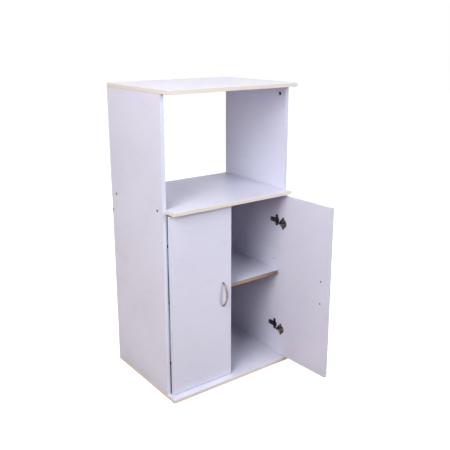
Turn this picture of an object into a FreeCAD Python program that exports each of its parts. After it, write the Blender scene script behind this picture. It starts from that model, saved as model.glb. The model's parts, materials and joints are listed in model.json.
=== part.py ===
import FreeCAD, Part
import math
import os
from FreeCAD import Vector

# Microwave cart of melamine boards: an open bay over a two-door cupboard.
# Millimetres. X to the right, -Y to the front, Z up. The origin is the centre of the
# base board's underside, on the floor.

# Carcass
board = 15.0                 # thickness of every board
cart_width = 600.0           # over the two side panels
side_depth = 400.0           # front edge to rear edge of a side panel
front_overhang = 50.0        # top, shelf and base stand this far past the side panels
cart_height = 1200.0         # floor to upper face of the top
shelf_underside = 751.0      # height of the middle shelf's lower face
rail_height = 130.0          # stiffening rail under the shelf, at the rear

# Edge bands
trim_band = 2.0              # cream band on top, shelf and base
trim_round = 1.2
thin_band = 1.0              # band on doors, side panels and inner shelf
thin_round = 0.6

# Back panel and its nails
back_thickness = 3.0
back_inset = 2.0             # from the outline of the carcass
nail_radius = 0.9
nail_length = 18.0
nail_head_radius = 3.0
nail_head = 0.8
side_nails = 4               # along each side panel
cross_nails = 3              # along the base and along the shelf
nail_end_margin = 55.0

# Confirmat screws, driven flush
confirmat_head_radius = 5.0
confirmat_head = 1.6
confirmat_cone = 2.0
confirmat_shank_radius = 3.5
confirmat_shank = 11.0
confirmat_core_radius = 2.6
confirmat_length = 50.0
confirmat_socket = 4.0       # across the flats of the hexagon
confirmat_socket_depth = 2.5
confirmat_recess = 0.3       # of the screws under the base, clear of the floor
shelf_screw_front = 39.0     # from the side panel's front edge
shelf_screw_rear = 40.0      # from the side panel's rear edge
base_screw_inset = 50.0      # from both edges of the side panel

# Cam locks and dowels that hold the top
cam_radius = 7.4
cam_play = 0.1
cam_depth = 12.3
cam_pocket_depth = 12.5
cam_drop = 32.0              # below the top's underside
cam_inset = 35.0             # from the front and rear edges of the side panel
cam_slot_depth = 2.0
cam_slot_width = 1.4
cam_bolt_thread = 2.5
cam_bolt_neck = 2.0
cam_bolt_head = 3.3
cam_bolt_head_length = 4.0
cam_bolt_bore = 4.0
cam_thread_depth = 11.0
dowel_radius = 4.0
dowel_length = 30.0
dowel_in_top = 10.0
dowel_spacing = 32.0         # from the cam bolt, towards the middle

# Inner shelf on pins
pin_hole_pitch = 64.0
pin_height = 380.0           # axis of the pins in use
pin_stud_radius = 2.5
pin_stud_length = 9.0
pin_hole_depth = 10.0
pin_nub_radius = 3.5
pin_nub_length = 8.0
pin_front = 50.0             # from the side panel's front edge
pin_rear = 60.0              # from the side panel's rear edge
inner_shelf_setback = 20.0   # from the side panel's front edge
inner_shelf_rear = 5.0       # from the side panel's rear edge
inner_shelf_play = 0.5       # at each end

# Doors
door_side_gap = 2.5          # door edge to side panel's inner face
door_centre_gap = 4.0
door_gap = 4.0               # door's inner face to the side panel's front edge
door_bottom_gap = 3.0
door_height = 725.0
rest_opening = 93.0          # degrees the right door stands open

# Handles
handle_centres = 96.0
handle_reach = 28.0          # door face to the crown of the bow
handle_from_edge = 40.0      # from the door's free edge
handle_height = 382.0        # middle of the bow above the floor
handle_foot_radius = 4.6
handle_foot = 7.0
handle_foot_top = 3.4        # radius of the foot's outer end
handle_bow_start = 4.5       # middle of the bow's ends, above the door
handle_end_width = 7.0
handle_mid_width = 11.5
handle_end_thickness = 6.0
handle_mid_thickness = 4.4
handle_edge = 1.2            # bevel on the bow's long edges
handle_screw_radius = 2.0
handle_screw_play = 0.2
handle_screw_head_radius = 3.6
handle_screw_head = 2.0
handle_screw_grip = 5.0      # length inside the handle's foot

# Concealed hinges
hinge_inset = 122.0          # from the door's top and bottom edges
cup_radius = 17.45
cup_bore_play = 0.05
cup_depth = 11.2
cup_bore_depth = 11.5
cup_wall = 0.8
cup_from_edge = 22.0         # door edge to cup centre
cup_flange = 1.0
cup_flange_radius = 19.5
cup_wing_half = 27.0
cup_wing_width = 11.0
cup_screw_spacing = 45.0
pivot_from_edge = 10.0       # door edge to hinge pin
pivot_depth = 6.0            # door's inner face to hinge pin
hinge_pin_radius = 1.5
hinge_pin_half = 10.8
lug_half = 3.5               # lugs in the cup that hold the pin's ends
lug_above_pin = 3.0
lug_play = 0.3               # beside the arm's eye
eye_radius = 3.2
eye_play = 0.05
arm_thickness = 1.6
neck_width = 10.0
neck_reach = 14.8            # pin to the outermost bend of the neck
neck_bend = 2.6
neck_swing = 45.0            # degrees that the neck runs round the pin
neck_turn = 10.0             # radius of the bend into the channel
channel_width = 16.0
channel_lip = 3.8
arm_rear = 69.0              # rear end of the arm behind the side panel's front edge
plate_setback = 37.0         # screws behind the side panel's front edge
plate_thickness = 2.0
plate_ridge = 4.1            # ridge that the arm sits on
plate_ridge_half = 6.0
plate_bar_half = 9.0
plate_front = 24.0
plate_wing_half = 25.0
plate_wing_width = 14.0
plate_screw_spacing = 32.0
wood_screw_radius = 1.75
wood_screw_length = 12.0
wood_screw_head_radius = 3.4
wood_screw_head = 1.2
fixing_screw_radius = 3.0
fixing_screw_head_radius = 4.0
fixing_screw_back = 60.0     # behind the side panel's front edge
side_screw_radius = 2.2
side_screw_head_radius = 3.2
side_screw_back = 44.0
machine_head = 1.8
machine_grip = 4.0

# Pan heads with a cross recess, as shares of the head's own radius or height
head_flat = 0.65             # radius of the flat top
head_rim = 0.45              # height of the upright rim
recess_span = 1.2            # tip to tip
recess_width = 0.3
recess_depth = 0.6

# Places worked out from the sizes above
half_width = cart_width / 2
half_inner = half_width - board
base_depth = side_depth + front_overhang
front_y = -base_depth / 2
panel_front = front_y + front_overhang
rear_y = panel_front + side_depth
top_underside = cart_height - board
shelf_top = shelf_underside + board
inner_shelf_underside = pin_height + pin_nub_radius
door_bottom = board + door_bottom_gap
door_top = door_bottom + door_height
door_edge = half_inner - door_side_gap
door_free_edge = door_centre_gap / 2
door_back = panel_front - door_gap
door_front = door_back - board
cup_x = door_edge - cup_from_edge
handle_x = door_free_edge + handle_from_edge
pivot_x = door_edge - pivot_from_edge
pivot_y = door_back - pivot_depth
hinge_heights = {"lower": door_bottom + hinge_inset, "upper": door_top - hinge_inset}


def box(x0, x1, y0, y1, z0, z1):
    return Part.makeBox(x1 - x0, y1 - y0, z1 - z0, Vector(x0, y0, z0))


def rod(radius, start, direction, length):
    return Part.makeCylinder(radius, length, Vector(*start), Vector(*direction))


def group(solids):
    return Part.makeCompound(solids)


def mirrored(shape):
    return shape.mirror(Vector(0, 0, 0), Vector(1, 0, 0))


def cut_all(shape, tools):
    return shape.cut(group(tools)) if tools else shape


def save(name, shape):
    shape.exportStep("parts/" + name + ".step")


def band(x0, x1, y0, y1, z0, z1, outward, radius):
    """A strip whose two long outer edges are rounded; outward is its face's normal."""
    strip = box(x0, x1, y0, y1, z0, z1)
    lengths = [x1 - x0, y1 - y0, z1 - z0]
    run = lengths.index(max(lengths))
    centre = strip.BoundBox.Center
    edges = []
    for edge in strip.Edges:
        a, b = (vertex.Point for vertex in edge.Vertexes)
        along = abs((b - a)[run]) > 0.5 * lengths[run]
        outside = ((a + b) * 0.5 - centre).dot(Vector(*outward)) > 0
        if along and outside:
            edges.append(edge)
    return strip.makeFillet(radius, edges)


def trimmed_board(half, low, rear_band):
    """A full-depth level board: its core, and the cream bands round its front and sides."""
    high = low + board
    left = trim_band - half
    right = half - trim_band
    front = front_y + trim_band
    back = rear_y - trim_band if rear_band else rear_y
    bands = [
        band(-half, half, front_y, front, low, high, (0, -1, 0), trim_round),
        band(-half, left, front, back, low, high, (-1, 0, 0), trim_round),
        band(right, half, front, back, low, high, (1, 0, 0), trim_round),
    ]
    if rear_band:
        bands.append(band(-half, half, back, rear_y, low, high, (0, 1, 0), trim_round))
    return box(left, right, front, back, low, high), bands


def placed(shape, start, direction):
    """Moves a shape drawn along +Z so that it runs along direction from start."""
    rotation = FreeCAD.Rotation(Vector(0, 0, 1), Vector(*direction))
    shape.Placement = FreeCAD.Placement(Vector(*start), rotation)
    return shape


def turned(profile, start, direction):
    """A solid turned from (radius, distance) points, along direction from start."""
    points = [Vector(radius, 0, along) for radius, along in profile]
    wire = Part.makePolygon(points + [points[0]])
    return placed(Part.Face(wire).revolve(Vector(0, 0, 0), Vector(0, 0, 1), 360), start, direction)


def screw(start, direction, radius, length, head_radius, head_height):
    """A pan-head screw with a cross recess; the seat of its head is at start."""
    profile = [
        (0, -head_height),
        (head_radius * head_flat, -head_height),
        (head_radius, -head_height * head_rim),
        (head_radius, 0),
        (radius, 0),
        (radius, length),
        (0, length),
    ]
    reach = head_radius * recess_span / 2
    half = head_radius * recess_width / 2
    blade = box(-reach, reach, -half, half, -head_height, -head_height * (1 - recess_depth))
    cross = blade.fuse(blade.rotated(Vector(0, 0, 0), Vector(0, 0, 1), 90))
    return turned(profile, start, direction).cut(placed(cross, start, direction))


def wood_screw(start, direction):
    size = (wood_screw_radius, wood_screw_length, wood_screw_head_radius, wood_screw_head)
    return screw(start, direction, *size)


def confirmat_body(start, direction):
    """The screw's outline, which is also the stepped hole that it fills."""
    cone_end = confirmat_head + confirmat_cone
    profile = [
        (0, 0),
        (confirmat_head_radius, 0),
        (confirmat_head_radius, confirmat_head),
        (confirmat_shank_radius, cone_end),
        (confirmat_shank_radius, confirmat_shank),
        (confirmat_core_radius, confirmat_shank),
        (confirmat_core_radius, confirmat_length),
        (0, confirmat_length),
    ]
    return turned(profile, start, direction)


def confirmat(start, direction):
    corner = confirmat_socket / math.sqrt(3)
    angles = [math.radians(60 * step) for step in range(7)]
    points = [Vector(corner * math.cos(angle), corner * math.sin(angle), 0) for angle in angles]
    socket = Part.Face(Part.makePolygon(points)).extrude(Vector(0, 0, confirmat_socket_depth))
    return confirmat_body(start, direction).cut(placed(socket, start, direction))


# Screws that hold the right side panel: a start point and a direction each
shelf_screw_z = shelf_underside + board / 2
rail_screw_z = shelf_underside - rail_height / 2
side_screws = [
    ((half_width, panel_front + shelf_screw_front, shelf_screw_z), (-1, 0, 0)),
    ((half_width, rear_y - shelf_screw_rear, shelf_screw_z), (-1, 0, 0)),
    ((half_width, rear_y - board / 2, rail_screw_z), (-1, 0, 0)),
]
panel_middle = half_width - board / 2
base_screws = [
    ((panel_middle, panel_front + base_screw_inset, confirmat_recess), (0, 0, 1)),
    ((panel_middle, rear_y - base_screw_inset, confirmat_recess), (0, 0, 1)),
]
right_screw_holes = [confirmat_body(*place) for place in side_screws + base_screws]
for (x, y, z), way in base_screws:
    right_screw_holes.append(rod(confirmat_head_radius, (x, y, 0), (0, 0, 1), confirmat_recess))
screw_holes = right_screw_holes + [mirrored(hole) for hole in right_screw_holes]


# Cam locks, their bolts and the dowels beside them, on the right side panel
def cam_places():
    """Y of each cam, with Y of the dowel beside it."""
    front = panel_front + cam_inset
    rear = rear_y - cam_inset
    return [(front, front + dowel_spacing), (rear, rear - dowel_spacing)]


def cam_lock(y):
    z = top_underside - cam_drop
    face = half_inner + cam_pocket_depth - cam_depth
    cam = rod(cam_radius, (face, y, z), (1, 0, 0), cam_depth)
    way_in = rod(cam_bolt_bore, (panel_middle, y, z - cam_bolt_head_length), (0, 0, 1), 2 * cam_radius)
    reach = cam_radius / 2
    half = cam_slot_width / 2
    slot = box(face, face + cam_slot_depth, y - reach, y + reach, z - half, z + half)
    cross = slot.rotated(Vector(face, y, z), Vector(1, 0, 0), 90)
    return cam.cut(group([way_in, slot, cross]))


def cam_bolt(y):
    z = top_underside - cam_drop
    head_start = z - cam_bolt_head_length / 2
    thread = rod(cam_bolt_thread, (panel_middle, y, top_underside), (0, 0, 1), cam_thread_depth)
    neck = rod(cam_bolt_neck, (panel_middle, y, z), (0, 0, 1), cam_drop)
    head = rod(cam_bolt_head, (panel_middle, y, head_start), (0, 0, 1), cam_bolt_head_length)
    return thread.fuse(neck).fuse(head)


def cam_holes_in_panel(y):
    z = top_underside - cam_drop
    pocket = rod(cam_radius + cam_play, (half_inner, y, z), (1, 0, 0), cam_pocket_depth)
    bore = rod(cam_bolt_bore, (panel_middle, y, z), (0, 0, 1), cam_drop)
    return [pocket, bore]


def dowel(y):
    below = dowel_length - dowel_in_top
    return rod(dowel_radius, (panel_middle, y, top_underside - below), (0, 0, 1), dowel_length)


def pin_rows():
    return [panel_front + pin_front, rear_y - pin_rear]


def shelf_pin(y):
    stud = rod(pin_stud_radius, (half_inner, y, pin_height), (1, 0, 0), pin_stud_length)
    nub = rod(pin_nub_radius, (half_inner, y, pin_height), (-1, 0, 0), pin_nub_length)
    return stud.fuse(nub)


def pin_holes():
    holes = []
    for y in pin_rows():
        for step in (-1, 0, 1):
            start = (half_inner, y, pin_height + step * pin_hole_pitch)
            holes.append(rod(pin_stud_radius, start, (1, 0, 0), pin_hole_depth))
    return holes


def spread(first, last, count):
    return [first + (last - first) * step / (count - 1) for step in range(count)]


def nail_places():
    """X and Z of the nails along the side panels, the base and the shelf."""
    places = []
    for z in spread(board + nail_end_margin, shelf_underside - nail_end_margin, side_nails):
        places += [(-panel_middle, z), (panel_middle, z)]
    for x in spread(-half_inner + nail_end_margin, half_inner - nail_end_margin, cross_nails):
        places += [(x, board / 2), (x, shelf_screw_z)]
    return places


def nail(x, z):
    outer = rear_y + back_thickness
    head = rod(nail_head_radius, (x, outer, z), (0, 1, 0), nail_head)
    shank = rod(nail_radius, (x, outer, z), (0, -1, 0), nail_length)
    return head.fuse(shank)


def nail_hole(x, z):
    return rod(nail_radius, (x, rear_y + back_thickness, z), (0, -1, 0), nail_length)


nail_holes = [nail_hole(x, z) for x, z in nail_places()]


# Concealed hinge, drawn for the right door shut, at one height
def cup_screw_places(z):
    return [z - cup_screw_spacing / 2, z + cup_screw_spacing / 2]


def plate_screw_places(z):
    return [z - plate_screw_spacing / 2, z + plate_screw_spacing / 2]


def pin_lugs(z):
    """Two blocks inside the cup, one at each end of the hinge pin."""
    inside = rod(cup_radius - cup_wall, (cup_x, door_back, z), (0, -1, 0), cup_depth)
    floor_y = door_back - cup_depth
    gap = neck_width / 2 + lug_play
    lugs = []
    for low, high in ((-cup_radius, -gap), (gap, cup_radius)):
        left = pivot_x - lug_half
        right = pivot_x + lug_half
        block = box(left, right, floor_y, pivot_y + lug_above_pin, z + low, z + high)
        lugs.append(block.common(inside))
    return lugs


def hinge_cup(z):
    wall = rod(cup_radius, (cup_x, door_back, z), (0, -1, 0), cup_depth)
    disc = rod(cup_flange_radius, (cup_x, door_back, z), (0, 1, 0), cup_flange)
    half = cup_wing_width / 2
    reach = cup_wing_half - half
    wing = box(cup_x - half, cup_x + half, door_back, door_back + cup_flange, z - reach, z + reach)
    ends = [rod(half, (cup_x, door_back, z + side * reach), (0, 1, 0), cup_flange) for side in (-1, 1)]
    hollow_depth = cup_depth - cup_wall + cup_flange
    hollow = rod(cup_radius - cup_wall, (cup_x, door_back + cup_flange, z), (0, -1, 0), hollow_depth)
    holes = []
    for place in cup_screw_places(z):
        holes.append(rod(wood_screw_radius, (cup_x, door_back, place), (0, 1, 0), cup_flange))
    open_cup = cut_all(wall.fuse([disc, wing] + ends), [hollow] + holes)
    return open_cup.fuse(pin_lugs(z)).cut(hinge_pin(z))


def cup_screws(z):
    seat = door_back + cup_flange
    return [wood_screw((cup_x, seat, place), (0, -1, 0)) for place in cup_screw_places(z)]


def hinge_pin(z):
    return rod(hinge_pin_radius, (pivot_x, pivot_y, z - hinge_pin_half), (0, 0, 1), 2 * hinge_pin_half)


def arc(centre, radius, first, last):
    """An arc in plan from one angle to another, in degrees."""
    points = []
    for degrees in (first, (first + last) / 2, last):
        angle = math.radians(degrees)
        points.append(centre + Vector(radius * math.cos(angle), radius * math.sin(angle), 0))
    return Part.Arc(*points).toShape()


def neck_path():
    """The neck's centre line in plan, from the hinge pin's eye to the channel, and its end."""
    channel_x = half_inner - pivot_x - plate_thickness - plate_ridge - arm_thickness / 2
    swing = math.radians(neck_swing)
    start = Vector(-eye_radius + arm_thickness / 2, 0, 0)
    bend_in = Vector(neck_bend - neck_reach, 0, 0)
    leaving = Vector(-neck_reach * math.cos(swing), neck_bend + neck_reach * math.sin(swing), 0)
    turn_x = channel_x - neck_turn * (1 - math.cos(swing))
    turn_in = Vector(turn_x, leaving.y + (turn_x - leaving.x) / math.tan(swing), 0)
    turn_centre = turn_in - Vector(neck_turn * math.cos(swing), -neck_turn * math.sin(swing), 0)
    edges = [
        Part.makeLine(start, bend_in),
        arc(bend_in + Vector(0, neck_bend, 0), neck_bend, 270, 180),
        arc(Vector(0, neck_bend, 0), neck_reach, 180, 180 - neck_swing),
        Part.makeLine(leaving, turn_in),
        arc(turn_centre, neck_turn, -neck_swing, 0),
    ]
    return edges, turn_centre + Vector(neck_turn, 0, 0)


def hinge_arm(z):
    edges, neck_end = neck_path()
    outline = Part.Wire(edges).makeOffset2D(arm_thickness / 2, 0, False, False, False)
    neck = Part.Face(outline).extrude(Vector(0, 0, neck_width))
    neck.translate(Vector(pivot_x, pivot_y, z - neck_width / 2))
    eye = rod(eye_radius, (pivot_x, pivot_y, z - neck_width / 2), (0, 0, 1), neck_width)
    web_outer = pivot_x + neck_end.x - arm_thickness / 2
    web_inner = web_outer + arm_thickness
    lip_end = web_inner + channel_lip
    channel_front = pivot_y + neck_end.y
    channel_rear = panel_front + arm_rear
    half = channel_width / 2
    web = box(web_outer, web_inner, channel_front, channel_rear, z - half, z + half)
    lips = []
    for low in (z - half, z + half - arm_thickness):
        lips.append(box(web_inner, lip_end, channel_front, channel_rear, low, low + arm_thickness))
    bore = rod(hinge_pin_radius + eye_play, (pivot_x, pivot_y, z - neck_width / 2), (0, 0, 1), neck_width)
    screw_bores = [
        rod(fixing_screw_radius, (web_outer, panel_front + fixing_screw_back, z), (1, 0, 0), arm_thickness),
        rod(side_screw_radius, (web_outer, panel_front + side_screw_back, z), (1, 0, 0), arm_thickness),
    ]
    arm = neck.fuse([eye, web] + lips)
    return cut_all(arm, [bore] + screw_bores)


def mounting_plate(z):
    base = half_inner - plate_thickness
    ridge_top = base - plate_ridge
    middle = panel_front + plate_setback
    half = plate_wing_width / 2
    rear = panel_front + arm_rear
    reach = plate_wing_half - half
    bar = box(base, half_inner, panel_front + plate_front, rear, z - plate_bar_half, z + plate_bar_half)
    wing = box(base, half_inner, middle - half, middle + half, z - reach, z + reach)
    ends = [rod(half, (base, middle, z + side * reach), (1, 0, 0), plate_thickness) for side in (-1, 1)]
    ridge = box(ridge_top, base, middle - half, rear, z - plate_ridge_half, z + plate_ridge_half)
    holes = [
        rod(fixing_screw_radius, (ridge_top, panel_front + fixing_screw_back, z), (1, 0, 0), machine_grip),
        rod(side_screw_radius, (ridge_top, panel_front + side_screw_back, z), (1, 0, 0), machine_grip),
    ]
    for place in plate_screw_places(z):
        holes.append(rod(wood_screw_radius, (base, middle, place), (1, 0, 0), plate_thickness))
    return cut_all(bar.fuse([wing, ridge] + ends), holes)


def plate_screws(z):
    start_x = half_inner - plate_thickness
    middle = panel_front + plate_setback
    return [wood_screw((start_x, middle, place), (1, 0, 0)) for place in plate_screw_places(z)]


def arm_screws(z):
    seat = half_inner - plate_thickness - plate_ridge - arm_thickness
    length = arm_thickness + machine_grip
    fixing_y = panel_front + fixing_screw_back
    side_y = panel_front + side_screw_back
    fixing_size = (fixing_screw_radius, length, fixing_screw_head_radius, machine_head)
    side_size = (side_screw_radius, length, side_screw_head_radius, machine_head)
    fixing = screw((seat, fixing_y, z), (1, 0, 0), *fixing_size)
    adjuster = screw((seat, side_y, z), (1, 0, 0), *side_size)
    return [fixing, adjuster]


# Doors, drawn shut
def door_holes():
    holes = []
    for z in hinge_heights.values():
        holes.append(rod(cup_radius + cup_bore_play, (cup_x, door_back, z), (0, -1, 0), cup_bore_depth))
        for place in cup_screw_places(z):
            depth = wood_screw_length - cup_flange
            holes.append(rod(wood_screw_radius, (cup_x, door_back, place), (0, -1, 0), depth))
    for z in handle_screw_heights():
        radius = handle_screw_radius + handle_screw_play
        holes.append(rod(radius, (handle_x, door_back, z), (0, -1, 0), board))
    return holes


def handle_screw_heights():
    return [handle_height - handle_centres / 2, handle_height + handle_centres / 2]


def door_panel():
    left = door_free_edge + thin_band
    right = door_edge - thin_band
    core = box(left, right, door_front, door_back, door_bottom + thin_band, door_top - thin_band)
    return cut_all(core, door_holes())


def door_bands():
    free = door_free_edge
    hung = door_edge
    low = door_bottom + thin_band
    high = door_top - thin_band
    return [
        band(free, free + thin_band, door_front, door_back, low, high, (-1, 0, 0), thin_round),
        band(hung - thin_band, hung, door_front, door_back, low, high, (1, 0, 0), thin_round),
        band(free, hung, door_front, door_back, door_bottom, low, (0, 0, -1), thin_round),
        band(free, hung, door_front, door_back, high, door_top, (0, 0, 1), thin_round),
    ]


def arc_through(*points):
    return Part.Arc(*(Vector(*point) for point in points)).toShape()


def handle_side_outline():
    """The bow seen from the side: a crescent, thickest at its ends."""
    half = handle_centres / 2
    outer_end = door_front - handle_bow_start - handle_end_thickness / 2
    inner_end = door_front - handle_bow_start + handle_end_thickness / 2
    crown = door_front - handle_reach
    under_crown = crown + handle_mid_thickness
    low = handle_height - half
    high = handle_height + half
    edges = [
        arc_through((0, outer_end, low), (0, crown, handle_height), (0, outer_end, high)),
        Part.makeLine(Vector(0, outer_end, high), Vector(0, inner_end, high)),
        arc_through((0, inner_end, high), (0, under_crown, handle_height), (0, inner_end, low)),
        Part.makeLine(Vector(0, inner_end, low), Vector(0, outer_end, low)),
    ]
    return Part.Face(Part.Wire(edges))


def handle_front_outline():
    """The bow seen from the front: a leaf, widest in its middle."""
    end = handle_end_width / 2
    middle = handle_mid_width / 2
    low = handle_height - handle_centres / 2
    high = handle_height + handle_centres / 2
    edges = [
        arc_through((-end, 0, low), (-middle, 0, handle_height), (-end, 0, high)),
        Part.makeLine(Vector(-end, 0, high), Vector(end, 0, high)),
        arc_through((end, 0, high), (middle, 0, handle_height), (end, 0, low)),
        Part.makeLine(Vector(end, 0, low), Vector(-end, 0, low)),
    ]
    return Part.Face(Part.Wire(edges))


def handle_bow():
    """Where the two outlines cross, with its long edges bevelled."""
    side = handle_side_outline()
    side.translate(Vector(-handle_mid_width, 0, 0))
    front = handle_front_outline()
    front.translate(Vector(0, door_front, 0))
    crescent = side.extrude(Vector(2 * handle_mid_width, 0, 0))
    leaf = front.extrude(Vector(0, -2 * handle_reach, 0))
    bow = crescent.common(leaf)
    long_edges = [edge for edge in bow.Edges if edge.BoundBox.ZLength > handle_centres / 2]
    bow = bow.makeChamfer(handle_edge, long_edges)
    bow.translate(Vector(handle_x, 0, 0))
    return bow


def handle_post(z):
    """A round foot under one end of the bow, tapered towards the bow."""
    waist = handle_foot - (handle_foot_radius - handle_foot_top)
    profile = [
        (0, 0),
        (handle_foot_radius, 0),
        (handle_foot_radius, waist),
        (handle_foot_top, handle_foot),
        (0, handle_foot),
    ]
    return turned(profile, (handle_x, door_front, z), (0, -1, 0))


def bow_handle():
    feet = []
    holes = []
    for z in handle_screw_heights():
        feet.append(handle_post(z))
        holes.append(rod(handle_screw_radius, (handle_x, door_front, z), (0, -1, 0), handle_screw_grip))
    return cut_all(handle_bow().fuse(feet), holes)


def handle_screws():
    length = board + handle_screw_grip
    size = (handle_screw_radius, length, handle_screw_head_radius, handle_screw_head)
    return [screw((handle_x, door_back, z), (0, -1, 0), *size) for z in handle_screw_heights()]


def opened(shape):
    """The right door's pieces at rest, swung open about their hinge pins."""
    return shape.rotated(Vector(pivot_x, pivot_y, 0), Vector(0, 0, 1), rest_opening)


def build_top():
    core, bands = trimmed_board(half_width, top_underside, True)
    holes = []
    for bolt_y, dowel_y in cam_places():
        holes.append(rod(cam_bolt_thread, (panel_middle, bolt_y, top_underside), (0, 0, 1), cam_thread_depth))
        holes.append(dowel(dowel_y))
    save("top_panel", cut_all(core, holes + [mirrored(hole) for hole in holes]))
    save("top_edge_bands", group(bands))


def build_sides():
    band_back = panel_front + thin_band
    core = box(half_inner, half_width, band_back, rear_y, board, top_underside)
    strip = band(half_inner, half_width, panel_front, band_back, board, top_underside, (0, -1, 0), thin_round)
    holes = right_screw_holes + pin_holes() + nail_holes
    for cam_y, dowel_y in cam_places():
        holes += cam_holes_in_panel(cam_y) + [dowel(dowel_y)]
    for z in hinge_heights.values():
        for place in plate_screw_places(z):
            start = (half_inner, panel_front + plate_setback, place)
            holes.append(rod(wood_screw_radius, start, (1, 0, 0), wood_screw_length - plate_thickness))
    panel = cut_all(core, holes)
    save("right_side_panel", panel)
    save("left_side_panel", mirrored(panel))
    save("right_side_band", strip)
    save("left_side_band", mirrored(strip))


def build_shelf_and_base():
    shelf, shelf_bands = trimmed_board(half_inner, shelf_underside, False)
    save("middle_shelf", cut_all(shelf, screw_holes + nail_holes))
    save("middle_shelf_bands", group([cut_all(strip, screw_holes) for strip in shelf_bands]))
    base, base_bands = trimmed_board(half_width, 0, False)
    save("base_panel", cut_all(base, screw_holes + nail_holes))
    save("base_edge_bands", group(base_bands))


def build_back():
    rail_low = shelf_underside - rail_height
    rail = box(-half_inner, half_inner, rear_y - board, rear_y, rail_low, shelf_underside)
    save("rear_rail", cut_all(rail, screw_holes))
    half = half_width - back_inset
    back = box(-half, half, rear_y, rear_y + back_thickness, back_inset, shelf_top - back_inset)
    save("back_panel", cut_all(back, nail_holes))
    save("back_nails", group([nail(x, z) for x, z in nail_places()]))


def build_fasteners():
    from_side = [confirmat(*place) for place in side_screws]
    from_below = [confirmat(*place) for place in base_screws]
    save("right_side_screws", group(from_side))
    save("left_side_screws", group([mirrored(piece) for piece in from_side]))
    save("base_screws", group(from_below + [mirrored(piece) for piece in from_below]))
    locks = [cam_lock(cam_y) for cam_y, dowel_y in cam_places()]
    bolts = [cam_bolt(cam_y) for cam_y, dowel_y in cam_places()]
    dowels = [dowel(dowel_y) for cam_y, dowel_y in cam_places()]
    for name, pieces in (("cam_locks", locks), ("cam_bolts", bolts), ("top_dowels", dowels)):
        save(name, group(pieces + [mirrored(piece) for piece in pieces]))


def build_inner_shelf():
    half = half_inner - inner_shelf_play
    front = panel_front + inner_shelf_setback
    back = rear_y - inner_shelf_rear
    core_front = front + thin_band
    low = inner_shelf_underside
    high = low + board
    save("inner_shelf", box(-half, half, core_front, back, low, high))
    save("inner_shelf_band", band(-half, half, front, core_front, low, high, (0, -1, 0), thin_round))
    pins = [shelf_pin(y) for y in pin_rows()]
    save("shelf_pins", group(pins + [mirrored(pin) for pin in pins]))


def build_hinges():
    for level, z in hinge_heights.items():
        fixed = {"arm": hinge_arm(z), "plate": mounting_plate(z)}
        moving = {"cup": hinge_cup(z), "pin": hinge_pin(z)}
        for piece, shape in fixed.items():
            save("right_" + level + "_hinge_" + piece, shape)
            save("left_" + level + "_hinge_" + piece, mirrored(shape))
        for piece, shape in moving.items():
            save("right_" + level + "_hinge_" + piece, opened(shape))
            save("left_" + level + "_hinge_" + piece, mirrored(shape))
    for name, make in (("plate_screws", plate_screws), ("arm_screws", arm_screws)):
        pieces = [piece for z in hinge_heights.values() for piece in make(z)]
        save("right_" + name, group(pieces))
        save("left_" + name, group([mirrored(piece) for piece in pieces]))
    pieces = [piece for z in hinge_heights.values() for piece in cup_screws(z)]
    save("right_cup_screws", group([opened(piece) for piece in pieces]))
    save("left_cup_screws", group([mirrored(piece) for piece in pieces]))


def build_doors():
    panel = door_panel()
    bands = door_bands()
    handle = bow_handle()
    screws = handle_screws()
    save("right_door_panel", opened(panel))
    save("left_door_panel", mirrored(panel))
    save("right_door_bands", group([opened(strip) for strip in bands]))
    save("left_door_bands", group([mirrored(strip) for strip in bands]))
    save("right_handle", opened(handle))
    save("left_handle", mirrored(handle))
    save("right_handle_screws", group([opened(piece) for piece in screws]))
    save("left_handle_screws", group([mirrored(piece) for piece in screws]))


os.makedirs("parts", exist_ok=True)
build_top()
build_sides()
build_shelf_and_base()
build_back()
build_fasteners()
build_inner_shelf()
build_hinges()
build_doors()
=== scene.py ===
import json
import math

import bmesh
import bpy
from mathutils import Matrix, Vector


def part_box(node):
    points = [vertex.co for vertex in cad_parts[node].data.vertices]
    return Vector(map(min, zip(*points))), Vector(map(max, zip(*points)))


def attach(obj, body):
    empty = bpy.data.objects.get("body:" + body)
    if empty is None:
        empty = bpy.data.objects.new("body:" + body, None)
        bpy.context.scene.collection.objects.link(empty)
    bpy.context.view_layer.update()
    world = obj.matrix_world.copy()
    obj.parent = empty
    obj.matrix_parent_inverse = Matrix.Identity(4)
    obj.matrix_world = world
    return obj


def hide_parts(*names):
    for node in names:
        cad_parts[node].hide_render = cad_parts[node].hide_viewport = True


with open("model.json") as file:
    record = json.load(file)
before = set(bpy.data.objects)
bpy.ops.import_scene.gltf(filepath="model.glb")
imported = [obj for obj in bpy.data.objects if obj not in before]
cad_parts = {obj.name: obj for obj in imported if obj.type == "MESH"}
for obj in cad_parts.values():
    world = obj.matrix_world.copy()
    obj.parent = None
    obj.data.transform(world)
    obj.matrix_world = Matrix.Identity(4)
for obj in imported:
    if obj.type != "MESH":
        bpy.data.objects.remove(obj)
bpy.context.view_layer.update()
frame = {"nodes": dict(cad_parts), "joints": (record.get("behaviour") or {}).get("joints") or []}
scene = bpy.context.scene
nodes = frame["nodes"]
mm = 0.001


# Camera, found from the cart's corners in the photograph
cameraLooks = {
    "place": (-1.4328, -2.0652, 1.3849),
    "yaw": 36.80,      # degrees to the right of straight ahead
    "pitch": 15.20,    # degrees down
    "focal": 629.9,    # pixels
    "axis": 205,       # row of pixels that the camera looks straight at
    "frame": 450,      # pixels across and down
    "sensor": 36.0,
}


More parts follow.
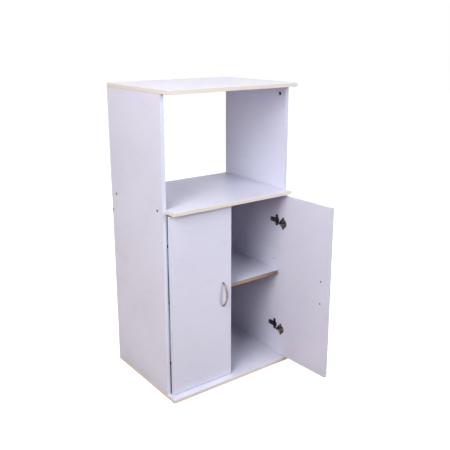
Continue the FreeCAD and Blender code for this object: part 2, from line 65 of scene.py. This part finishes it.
def makeCamera(looks):
    data = bpy.data.cameras.new("photoCamera")
    data.sensor_width = looks["sensor"]
    data.lens = looks["focal"] / looks["frame"] * looks["sensor"]
    data.shift_y = looks["axis"] / looks["frame"] - 0.5
    camera = bpy.data.objects.new("photoCamera", data)
    camera.location = looks["place"]
    camera.rotation_euler = (math.radians(90 - looks["pitch"]), 0, math.radians(-looks["yaw"]))
    scene.collection.objects.link(camera)
    scene.camera = camera


makeCamera(cameraLooks)
scene.view_settings.view_transform = "Standard"
print("camera set")


# Shader helpers
def paint(red, green, blue):  # screen values of 0 to 255 as a linear colour
    def linear(value):
        share = value / 255
        return share / 12.92 if share <= 0.04045 else ((share + 0.055) / 1.055) ** 2.4
    return (linear(red), linear(green), linear(blue), 1.0)


class Wire:  # a socket that takes Python's operators, each one a Math node
    def __init__(self, graph, socket):
        self.graph = graph
        self.socket = socket

    def maths(self, operation, *values):
        return self.graph.node("ShaderNodeMath", {"operation": operation}, dict(enumerate(values)))

    def __add__(self, other):
        return self.maths("ADD", self, other)

    def __radd__(self, other):
        return self.maths("ADD", other, self)

    def __sub__(self, other):
        return self.maths("SUBTRACT", self, other)

    def __rsub__(self, other):
        return self.maths("SUBTRACT", other, self)

    def __mul__(self, other):
        return self.maths("MULTIPLY", self, other)

    def __rmul__(self, other):
        return self.maths("MULTIPLY", other, self)

    def __gt__(self, other):
        return self.maths("GREATER_THAN", self, other)

    def __lt__(self, other):
        return self.maths("LESS_THAN", self, other)

    def __abs__(self):
        return self.maths("ABSOLUTE", self)


def setStops(ramp, stops):
    while len(ramp.elements) < len(stops):
        ramp.elements.new(1.0)
    for element, (position, colour) in zip(ramp.elements, stops):
        element.position = position
        element.color = colour


class Graph:  # a node tree
    def __init__(self, tree):
        self.tree = tree

    def node(self, kind, settings=None, sockets=None, output=0):
        made = self.tree.nodes.new(kind)
        for name, value in (settings or {}).items():
            if name == "stops":
                setStops(made.color_ramp, value)
            else:
                setattr(made, name, value)
        for name, value in (sockets or {}).items():
            self.feed(made.inputs[name], value)
        return Wire(self, made.outputs[output])

    def feed(self, socket, value):
        if isinstance(value, Wire):
            self.tree.links.new(value.socket, socket)
        else:
            socket.default_value = value

    def noise(self, place, scale=1.0, detail=2.0, roughness=0.5):
        values = {"Vector": place, "Scale": scale, "Detail": detail, "Roughness": roughness}
        return self.node("ShaderNodeTexNoise", {}, values)

    def stretched(self, place, factors):
        return self.node("ShaderNodeVectorMath", {"operation": "MULTIPLY"}, {0: place, 1: factors})

    def part(self, vector, axis):
        return self.node("ShaderNodeSeparateXYZ", {}, {"Vector": vector}, axis)

    def fitted(self, value, low, high, first=0.0, last=1.0):
        reach = {"From Min": low, "From Max": high, "To Min": first, "To Max": last}
        return self.node("ShaderNodeMapRange", {"clamp": True}, {"Value": value, **reach})

    def mix(self, share, first, second):  # sockets 6 and 7 and output 2 carry Mix's colours
        return self.node("ShaderNodeMix", {"data_type": "RGBA"}, {0: share, 6: first, 7: second}, 2)

    def bump(self, height):  # height in metres
        return self.node("ShaderNodeBump", {}, {"Height": height, "Distance": 1.0})


class Finish(Graph):  # one material and its Principled shader
    def __init__(self, name):
        self.material = bpy.data.materials.new(name)
        self.material.use_nodes = True
        super().__init__(self.material.node_tree)
        self.shader = self.tree.nodes["Principled BSDF"]
        self.place = self.node("ShaderNodeTexCoord", output="Object")
        self.normal = self.node("ShaderNodeTexCoord", output="Normal")

    def surface(self, sockets):
        for name, value in sockets.items():
            self.feed(self.shader.inputs[name], value)
        return self.material


# The right door stands open at rest: its finish looks up its place on the shut door
hinge = {joint["name"]: joint for joint in frame["joints"]}["right_door_hinge"]
doorLooks = {
    "pivot": Vector(hinge["pos_m"]),
    "open": math.radians(93.0),
}


def shutDoor(finish):
    turn = {"rotation_type": "AXIS_ANGLE"}
    around = {"Center": doorLooks["pivot"], "Axis": (0, 0, 1), "Angle": -doorLooks["open"]}
    finish.place = finish.node("ShaderNodeVectorRotate", turn, {"Vector": finish.place, **around})
    around["Center"] = (0, 0, 0)
    finish.normal = finish.node("ShaderNodeVectorRotate", turn, {"Vector": finish.normal, **around})


# Melamine-faced chipboard
boardLooks = {
    "face": paint(229, 229, 245),
    "cloud": paint(224, 224, 241),
    "cloudScale": 3.5,              # per metre
    "cloudRange": (0.35, 0.65),     # of the noise, from face to cloud
    # scuff colour, used for the handled smears and also for the painted shade near the floor
    "scuff": paint(190, 186, 198),
    "smear": (9.0, 9.0, 30.0),      # per metre
    "smearRange": (0.56, 0.72),     # of the noise, from clean to handled
    "handled": 0.10,                # share of scuff where hands and cloths pass
    # painted shade: the boards darken towards the floor, blotched by the smear noise
    "lowShade": 0.35,
    "lowShadeHeight": (0.015, 0.11),    # metres over the floor
    "seam": paint(176, 168, 164),   # glue line along the edge bands
    "seamWidth": 0.35 * mm,
    "seamShare": 0.8,
    "pearlScale": 1400.0,
    "pearlDepth": 0.03 * mm,
    "sheen": (0.34, 0.46),          # roughness from clean to handled
    "sheenRange": (0.4, 0.7),
    "cutRoughness": 0.85,
}

# Bare chipboard at cut edges and in holes
coreLooks = {
    "dark": paint(122, 88, 56),
    "middle": paint(176, 136, 92),
    "light": paint(206, 172, 128),
    "steps": (0.25, 0.5, 0.8),      # where each of the three is reached
    "flakeScale": 520.0,
    "pitScale": 310.0,
    "depth": 0.25 * mm,
}


def chipboardColour(finish, looks):
    flake = {"Vector": finish.place, "Scale": looks["flakeScale"]}
    flakes = finish.node("ShaderNodeTexVoronoi", {}, flake, "Color")
    stops = zip(looks["steps"], (looks["dark"], looks["middle"], looks["light"]))
    return finish.node("ShaderNodeValToRGB", {"stops": list(stops)}, {"Fac": flakes})


def seamLine(finish, low, high, thin, width):
    lines = []
    for axis in range(3):
        if axis != thin:
            middle = (low[axis] + high[axis]) / 2
            reach = (high[axis] - low[axis]) / 2 - width
            lines.append(abs(finish.part(finish.place, axis) - middle) > reach)
    return lines[0].maths("MAXIMUM", *lines)


def boardFinish(name, low, high, thin, looks, openDoor=False):
    finish = Finish(name)
    if openDoor:
        shutDoor(finish)
    place = finish.place
    cut = abs(finish.part(finish.normal, thin)) < 0.5  # 1 on the board's edges and in its holes
    clouds = finish.noise(place, looks["cloudScale"], detail=3.0)
    clouds = finish.fitted(clouds, *looks["cloudRange"])
    smears = finish.noise(finish.stretched(place, looks["smear"]), detail=4.0, roughness=0.65)
    handled = finish.fitted(smears, *looks["smearRange"])
    # handled wear plus painted shade that darkens the boards towards the floor
    shadeNearFloor = finish.fitted(finish.part(place, 2), *looks["lowShadeHeight"], 1.0, 0.0)
    scuffsAndLowShade = handled * looks["handled"] + shadeNearFloor * smears * looks["lowShade"]
    seam = seamLine(finish, low, high, thin, looks["seamWidth"]) * looks["seamShare"]
    face = finish.mix(clouds, looks["face"], looks["cloud"])
    face = finish.mix(scuffsAndLowShade, face, looks["scuff"])
    face = finish.mix(seam, face, looks["seam"])
    pearl = finish.noise(place, looks["pearlScale"], detail=1.0) * looks["pearlDepth"]
    pits = finish.noise(place, coreLooks["pitScale"], detail=4.0, roughness=0.7)
    pits = pits * coreLooks["depth"]
    sheen = finish.fitted(smears, *looks["sheenRange"], *looks["sheen"])
    return finish.surface({
        "Base Color": finish.mix(cut, face, chipboardColour(finish, coreLooks)),
        "Roughness": sheen * (1 - cut) + cut * looks["cutRoughness"],
        "Normal": finish.bump(pearl * (1 - cut) + pits * cut),
    })


# Edge bands: cream on top, shelf and base, white on doors and side boards, tan inside
creamBand = {
    "tone": paint(236, 228, 218),
    "grain": paint(224, 211, 198),
    "share": 0.5,
    "scuff": paint(170, 158, 146),
    "roughness": (0.36, 0.48),
    "depth": 0.03 * mm,
}
whiteBand = {
    "tone": paint(226, 230, 246),
    "grain": paint(217, 221, 237),
    "share": 0.4,
    "scuff": paint(180, 176, 186),
    "roughness": (0.34, 0.44),
    "depth": 0.02 * mm,
}
tanBand = {
    "tone": paint(174, 147, 122),
    "grain": paint(146, 117, 92),
    "share": 0.8,
    "scuff": paint(130, 110, 92),
    "roughness": (0.4, 0.52),
    "depth": 0.03 * mm,
}
bandGrain = {
    "along": (7.0, 7.0, 900.0),     # per metre
    "upright": (900.0, 900.0, 7.0),
    "range": (0.3, 0.7),            # of the noise, from tone to grain
    "knock": 28.0,
    "knockRange": (0.62, 0.74),
    "knockShare": 0.3,
}


def bandFinish(name, looks, run="along"):
    finish = Finish(name)
    along = finish.stretched(finish.place, bandGrain[run])
    grain = finish.noise(along, detail=3.0, roughness=0.6)
    streaks = finish.fitted(grain, *bandGrain["range"]) * looks["share"]
    tone = finish.mix(streaks, looks["tone"], looks["grain"])
    knocks = finish.noise(finish.place, bandGrain["knock"], detail=5.0, roughness=0.7)
    knocks = finish.fitted(knocks, *bandGrain["knockRange"]) * bandGrain["knockShare"]
    return finish.surface({
        "Base Color": finish.mix(knocks, tone, looks["scuff"]),
        "Roughness": finish.fitted(grain, *bandGrain["range"], *looks["roughness"]),
        "Normal": finish.bump(grain * looks["depth"]),
    })


# Hardboard back: white lacquer inside, brown fibre behind
backLooks = {
    "lacquer": paint(198, 192, 190),
    "brown": paint(154, 117, 82),
    "fibre": paint(124, 90, 60),
    "fibreScale": (60.0, 60.0, 190.0),
    "fibreRange": (0.3, 0.7),
    "meshScale": 820.0,             # per metre
    "meshShare": 0.5,               # of the relief, against the fibres
    "meshDepth": 0.12 * mm,
    "roughness": (0.42, 0.8),       # front and rear
}


def backFinish(name, looks):
    finish = Finish(name)
    front = finish.part(finish.normal, 1) < -0.5  # 1 on the face towards the doors
    along = finish.stretched(finish.place, looks["fibreScale"])
    fibres = finish.noise(along, detail=5.0, roughness=0.7)
    streaks = finish.fitted(fibres, *looks["fibreRange"])
    brown = finish.mix(streaks, looks["brown"], looks["fibre"])
    weave = 1.0
    for axis in (0, 2):
        turns = finish.part(finish.place, axis) * (looks["meshScale"] * math.tau)
        weave = turns.maths("SINE", turns) * weave
    height = (weave * looks["meshShare"] + fibres) * looks["meshDepth"] * (1 - front)
    return finish.surface({
        "Base Color": finish.mix(front, brown, looks["lacquer"]),
        "Roughness": front * looks["roughness"][0] + (1 - front) * looks["roughness"][1],
        "Normal": finish.bump(height),
    })


# Metals
satinNickel = {
    "tone": paint(138, 121, 117),
    "worn": paint(106, 91, 88),
    "grain": (1600.0, 1600.0, 40.0),
    "roughness": (0.3, 0.44),
    "depth": 0.012 * mm,
}
# Hinge arms and plates: nickel painted dark, the darkness being painted shade of the cupboard they
# sit in
shadedHingeNickel = {
    "tone": paint(84, 76, 72),
    "worn": paint(58, 52, 48),
    "grain": (420.0, 420.0, 420.0),
    "roughness": (0.22, 0.36),
    "depth": 0.01 * mm,
}
cupNickel = {
    "tone": paint(150, 142, 139),
    "worn": paint(98, 90, 86),
    "grain": (420.0, 420.0, 420.0),
    "roughness": (0.22, 0.36),
    "depth": 0.01 * mm,
}
zincCasting = {
    "tone": paint(70, 66, 68),
    "worn": paint(46, 44, 46),
    "grain": (900.0, 900.0, 900.0),
    "roughness": (0.42, 0.6),
    "depth": 0.05 * mm,
}
platedSteel = {
    "tone": paint(114, 110, 107),
    "worn": paint(80, 73, 65),
    "grain": (700.0, 700.0, 700.0),
    "roughness": (0.26, 0.42),
    "depth": 0.015 * mm,
}
# Near-black screw heads: dark heads, with the shade of the holes they sit in painted into the tone
darkScrewAndShade = {
    "tone": paint(16, 14, 15),
    "worn": paint(10, 9, 10),
    "grain": (700.0, 700.0, 700.0),
    "roughness": (0.3, 0.46),
    "depth": 0.015 * mm,
}
nailSteel = {
    "tone": paint(150, 150, 156),
    "worn": paint(96, 92, 90),
    "grain": (800.0, 800.0, 800.0),
    "roughness": (0.3, 0.5),
    "depth": 0.02 * mm,
}
tarnish = {  # worn patches on every metal
    "scale": 160.0,
    "range": (0.42, 0.68),
    "share": 0.6,
    "mottle": (0.6, 0.4),    # how much the grain and the patches roughen it
    "mottleRange": (0.2, 0.7),
}


def metalFinish(name, looks):
    finish = Finish(name)
    along = finish.stretched(finish.place, looks["grain"])
    grain = finish.noise(along, detail=3.0, roughness=0.6)
    patches = finish.noise(finish.place, tarnish["scale"], detail=4.0, roughness=0.6)
    patches = finish.fitted(patches, *tarnish["range"])
    mottle = grain * tarnish["mottle"][0] + patches * tarnish["mottle"][1]
    return finish.surface({
        "Base Color": finish.mix(patches * tarnish["share"], looks["tone"], looks["worn"]),
        "Metallic": 1.0,
        "Roughness": finish.fitted(mottle, *tarnish["mottleRange"], *looks["roughness"]),
        "Normal": finish.bump(grain * looks["depth"]),
    })


# Beech dowels
beechLooks = {
    "early": paint(214, 176, 130),
    "late": paint(176, 132, 88),
    "grain": (900.0, 900.0, 30.0),
    "range": (0.35, 0.65),
    "roughness": 0.62,
    "depth": 0.05 * mm,
}


def beechFinish(name, looks):
    finish = Finish(name)
    along = finish.stretched(finish.place, looks["grain"])
    grain = finish.noise(along, detail=4.0, roughness=0.6)
    rings = finish.fitted(grain, *looks["range"])
    return finish.surface({
        "Base Color": finish.mix(rings, looks["early"], looks["late"]),
        "Roughness": looks["roughness"],
        "Normal": finish.bump(grain * looks["depth"]),
    })


def dress(material, *names):
    for name in names:
        for slot in nodes[name].material_slots:
            slot.material = material


boards = {  # node: axis that the board is thin along
    "top_panel": 2, "middle_shelf": 2, "base_panel": 2, "inner_shelf": 2,
    "left_side_panel": 0, "right_side_panel": 0, "rear_rail": 1, "left_door_panel": 1,
}
for name, thin in boards.items():
    low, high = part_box(name)
    dress(boardFinish(name + "_melamine", low, high, thin, boardLooks), name)
low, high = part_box("left_door_panel")
low.x, high.x = -high.x, -low.x  # the right door's place when it is shut
openFinish = boardFinish("right_door_panel_melamine", low, high, 1, boardLooks, openDoor=True)
dress(openFinish, "right_door_panel")

creamEdges = ("top_edge_bands", "middle_shelf_bands", "base_edge_bands")
dress(bandFinish("creamEdging", creamBand), *creamEdges)
dress(bandFinish("tanEdging", tanBand), "inner_shelf_band")
whiteEdges = [side + part for side in ("left_", "right_") for part in ("side_band", "door_bands")]
dress(bandFinish("whiteEdging", whiteBand, "upright"), *whiteEdges)
dress(backFinish("lacqueredHardboard", backLooks), "back_panel")
dress(beechFinish("beech", beechLooks), "top_dowels")
cups = [name for name in nodes if name.endswith("_hinge_cup")]
arms = [name for name in nodes if "_hinge_" in name and name not in cups]
dress(metalFinish("shadedHingeNickel", shadedHingeNickel), *arms)
dress(metalFinish("cupNickel", cupNickel), *cups)
dress(metalFinish("zincCasting", zincCasting), "cam_locks")
smallScrews = [side + part for side in ("left_", "right_")
               for part in ("arm_screws", "cup_screws", "plate_screws", "handle_screws")]
dress(metalFinish("platedSteel", platedSteel), "cam_bolts", "shelf_pins", *smallScrews)
dress(metalFinish("darkScrewAndShade", darkScrewAndShade), "left_side_screws", "right_side_screws", "base_screws")
dress(metalFinish("nailSteel", nailSteel), "back_nails")
print("finishes on", len(nodes), "nodes")


# Bow handles: one smooth casting each, where the CAD handle is
handleLooks = {  # millimetres
    "x": 42.0,                # from the cart's middle, with both doors shut
    "middle": 382.0,          # height over the floor
    "spacing": 96.0,          # from foot to foot
    "doorFace": -194.0,
    "springing": -198.5,      # middle of the bow's section over its feet
    "crown": -219.8,          # and at its middle
    "foot": [                 # distance from the door, half width, half thickness
        (0.0, 4.6, 4.6), (0.25, 4.6, 4.6), (1.1, 4.5, 4.5), (2.2, 3.8, 3.7),
    ],
    "bend": 5.0,              # radius at which a foot turns into the bow
    "bendSteps": (0.33, 0.66),
    "bowShare": 0.96,         # of the arc, between the bends
    "neck": (3.4, 3.0),       # half width and half thickness at the bow's ends
    "wide": (5.75, 2.2),      # and at its middle
    "around": 16,             # points round the section
    "stations": 17,           # sections along the bow
    "squareness": 2.5,        # of the section: 2 is an ellipse
    "smoothing": 2,           # subdivisions
}


def handleRings(looks):  # y, z, turn from straight out, half width, half thickness
    half = looks["spacing"] / 2
    rise = looks["springing"] - looks["crown"]
    radius = (half * half + rise * rise) / (2 * rise)
    swing = math.asin(half / radius)
    rings = []
    for out, wide, thick in looks["foot"]:
        rings.append((looks["doorFace"] - out, -half, 0.0, wide, thick))
    ankle = rings[-1][0]
    for share in looks["bendSteps"]:
        turn = share * (math.pi / 2 - swing)
        out = looks["bend"] * math.sin(turn)
        inward = looks["bend"] * (1 - math.cos(turn))
        rings.append((ankle - out, inward - half, turn, *looks["neck"]))
    first = swing * looks["bowShare"]
    for step in range(looks["stations"] // 2 + 1):
        angle = first * (2 * step / (looks["stations"] - 1) - 1)
        swell = math.cos(angle / first * math.pi / 2)
        wide, thick = [neck + (full - neck) * swell
                       for neck, full in zip(looks["neck"], looks["wide"])]
        place = looks["crown"] + radius * (1 - math.cos(angle))
        rings.append((place, radius * math.sin(angle), math.pi / 2 + angle, wide, thick))
    far = [(y, -z, math.pi - turn, wide, thick) for y, z, turn, wide, thick in rings[:-1]]
    return rings + far[::-1]


def handleMesh(looks):
    mesh = bmesh.new()
    power = 2 / looks["squareness"]
    loops = []
    for y, z, turn, wide, thick in handleRings(looks):
        loop = []
        for step in range(looks["around"]):
            angle = math.tau * step / looks["around"]
            across = math.copysign(abs(math.cos(angle)) ** power, math.cos(angle)) * wide
            deep = math.copysign(abs(math.sin(angle)) ** power, math.sin(angle)) * thick
            out = y + deep * math.sin(turn)
            up = looks["middle"] + z + deep * math.cos(turn)
            loop.append(mesh.verts.new(Vector((looks["x"] + across, out, up)) * mm))
        loops.append(loop)
    for near, far in zip(loops, loops[1:]):
        for step in range(looks["around"]):
            after = (step + 1) % looks["around"]
            mesh.faces.new((near[step], near[after], far[after], far[step]))
    mesh.faces.new(loops[0][::-1])
    mesh.faces.new(loops[-1])
    bmesh.ops.recalc_face_normals(mesh, faces=mesh.faces)
    return mesh


def makeHandle(side, toPlace, looks, material):
    mesh = handleMesh(looks)
    mesh.transform(toPlace)
    data = bpy.data.meshes.new(side + "_bow_handle")
    mesh.to_mesh(data)
    mesh.free()
    data.shade_smooth()
    piece = bpy.data.objects.new(side + "_bow_handle", data)
    scene.collection.objects.link(piece)
    smoothing = piece.modifiers.new("smoothing", "SUBSURF")
    smoothing.levels = smoothing.render_levels = looks["smoothing"]
    data.materials.append(material)
    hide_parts(side + "_handle")
    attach(piece, side + "_door")


satin = metalFinish("satinNickel", satinNickel)
pivot = Matrix.Translation(doorLooks["pivot"])
swingOpen = pivot @ Matrix.Rotation(doorLooks["open"], 4, "Z") @ pivot.inverted()
toLeft = Matrix.Translation((-2 * handleLooks["x"] * mm, 0, 0))
makeHandle("left", toLeft, handleLooks, satin)
makeHandle("right", swingOpen, handleLooks, satin)
print("handles made")


# Floor, world and lamps
stageLooks = {
    "radius": 14.0,
    "segments": 96,
    "below": 0.4 * mm,
    "seen": (1.0, 1.0, 1.0, 1.0),    # floor and background as the camera sees them
    "unlit": (0.0, 0.0, 0.0, 1.0),
    "roughness": 0.9,
    "lift": (0.78, 1.0),             # glow that takes the floor to white, near and far
    "liftReach": (0.8, 3.5),         # metres from the cart's middle
    "bounce": paint(130, 94, 86),    # floor as it lights the cart
    "sky": (1.0, 0.86, 0.76, 1.0),   # sky as it lights the cart
    "skyStrength": 0.05,
}


def seenRays(graph):  # 1 for rays that show the surroundings: camera, mirror and glass
    camera, glossy, glass = [graph.node("ShaderNodeLightPath", output=name)
                             for name in ("Is Camera Ray", "Is Glossy Ray", "Is Transmission Ray")]
    return camera.maths("MAXIMUM", camera, glossy.maths("MAXIMUM", glossy, glass))


def makeFloor(looks):
    mesh = bmesh.new()
    bmesh.ops.create_circle(mesh, cap_ends=True, segments=looks["segments"], radius=looks["radius"])
    data = bpy.data.meshes.new("floor")
    mesh.to_mesh(data)
    mesh.free()
    floor = bpy.data.objects.new("floor", data)
    floor.location.z = -looks["below"]
    scene.collection.objects.link(floor)
    finish = Finish("floor")
    rays = seenRays(finish)
    spot = finish.node("ShaderNodeTexCoord", output="Object")
    reach = finish.node("ShaderNodeVectorMath", {"operation": "LENGTH"}, {0: spot}, "Value")
    glow = finish.fitted(reach, *looks["liftReach"], *looks["lift"])
    finish.surface({
        "Base Color": looks["seen"],
        "Roughness": looks["roughness"],
        "Specular IOR Level": 0.0,
        "Emission Color": finish.mix(glow, looks["unlit"], looks["seen"]),
        "Emission Strength": 1.0,
    })
    bounce = finish.node("ShaderNodeBsdfDiffuse", {}, {"Color": looks["bounce"]})
    seen = Wire(finish, finish.shader.outputs[0])
    both = finish.node("ShaderNodeMixShader", {}, {0: rays, 1: bounce, 2: seen})
    finish.feed(finish.tree.nodes["Material Output"].inputs["Surface"], both)
    data.materials.append(finish.material)


def makeWorld(looks):
    world = bpy.data.worlds.new("studio")
    world.use_nodes = True
    scene.world = world
    graph = Graph(world.node_tree)
    kind = "ShaderNodeBackground"
    sky = graph.node(kind, {}, {"Color": looks["sky"], "Strength": looks["skyStrength"]})
    white = graph.node(kind, {}, {"Color": looks["seen"], "Strength": 1.0})
    both = graph.node("ShaderNodeMixShader", {}, {0: seenRays(graph), 1: sky, 2: white})
    graph.feed(graph.tree.nodes["World Output"].inputs["Surface"], both)


lampLooks = {  # place, point it is aimed at, watts, metres across, colour
    "keyLamp": ((-2.3, -1.5, 2.0), (0.0, -0.1, 0.9), 50.0, 1.4, (0.93, 0.98, 1.0)),
    "highLamp": ((-2.0, -1.0, 3.0), (0.0, -0.1, 0.9), 45.0, 1.5, (1.0, 0.92, 0.91)),
    "frontLamp": ((1.0, -3.0, 2.2), (0.0, -0.2, 0.8), 58.0, 1.2, (0.86, 0.94, 1.0)),
    "rightLamp": ((3.0, 0.9, 2.0), (0.0, 0.0, 0.8), 42.0, 1.5, (1.0, 1.0, 1.0)),
    "rearLamp": ((0.2, 3.0, 0.7), (0.0, 0.0, 0.6), 30.0, 1.0, (1.0, 1.0, 1.0)),
    "topLamp": ((0.0, -0.1, 4.0), (0.0, -0.1, 1.2), 19.0, 1.0, (1.0, 0.97, 0.88)),
}


def makeLamps(looks):
    for name, (place, aim, watts, size, colour) in looks.items():
        data = bpy.data.lights.new(name, "AREA")
        data.energy = watts
        data.size = size
        data.color = colour
        lamp = bpy.data.objects.new(name, data)
        lamp.location = place
        lamp.rotation_mode = "QUATERNION"
        lamp.rotation_quaternion = (Vector(place) - Vector(aim)).to_track_quat("Z", "Y")
        lamp.visible_camera = False
        scene.collection.objects.link(lamp)


makeFloor(stageLooks)
makeWorld(stageLooks)
makeLamps(lampLooks)
print("floor, world and", len(lampLooks), "lamps made")
